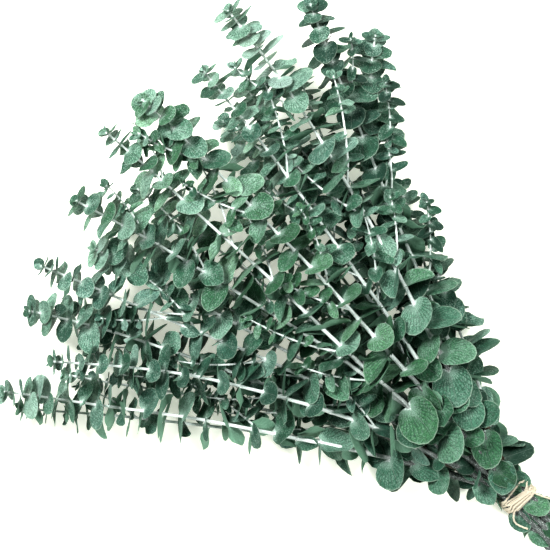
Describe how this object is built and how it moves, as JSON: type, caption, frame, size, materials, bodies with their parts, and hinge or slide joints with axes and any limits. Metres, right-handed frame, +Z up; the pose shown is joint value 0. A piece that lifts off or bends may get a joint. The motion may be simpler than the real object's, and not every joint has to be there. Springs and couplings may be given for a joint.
{
  "type": "bunch of dried eucalyptus",
  "caption": "Bunch of long leafy stems with round silver-green leaves in crosswise pairs, fanned out and bound near the cut ends with natural twine, lying flat.",
  "frame": {"origin": "on the surface the bunch lies on, straight below the middle of the twine binding, at the twine's flattened underside", "axes": "+Y from the cut ends through the binding to the tips, +Z up from the surface, +X to the right seen from above"},
  "size_m": [0.3802, 0.4497, 0.1107],
  "materials": {
    "foliage": "waxy matt dried leaves and pale bark",
    "twine": "rough natural fibre"
  },
  "bodies": {
    "root": {"stem_1_1": "foliage", "stem_1_2": "foliage", "stem_1_3": "foliage", "stem_1_4": "foliage", "stem_2_1": "foliage", "stem_2_2": "foliage", "stem_2_3": "foliage", "stem_2_4": "foliage", "stem_2_5": "foliage", "stem_3_1": "foliage", "stem_3_2": "foliage", "stem_3_3": "foliage", "stem_3_4": "foliage", "stem_4_1": "foliage", "stem_4_2": "foliage", "stem_4_3": "foliage", "stem_4_4": "foliage", "stem_4_5": "foliage", "stem_5_1": "foliage", "stem_5_2": "foliage", "stem_5_3": "foliage", "stem_5_4": "foliage", "twine": "twine"}
  },
  "joints": []
}
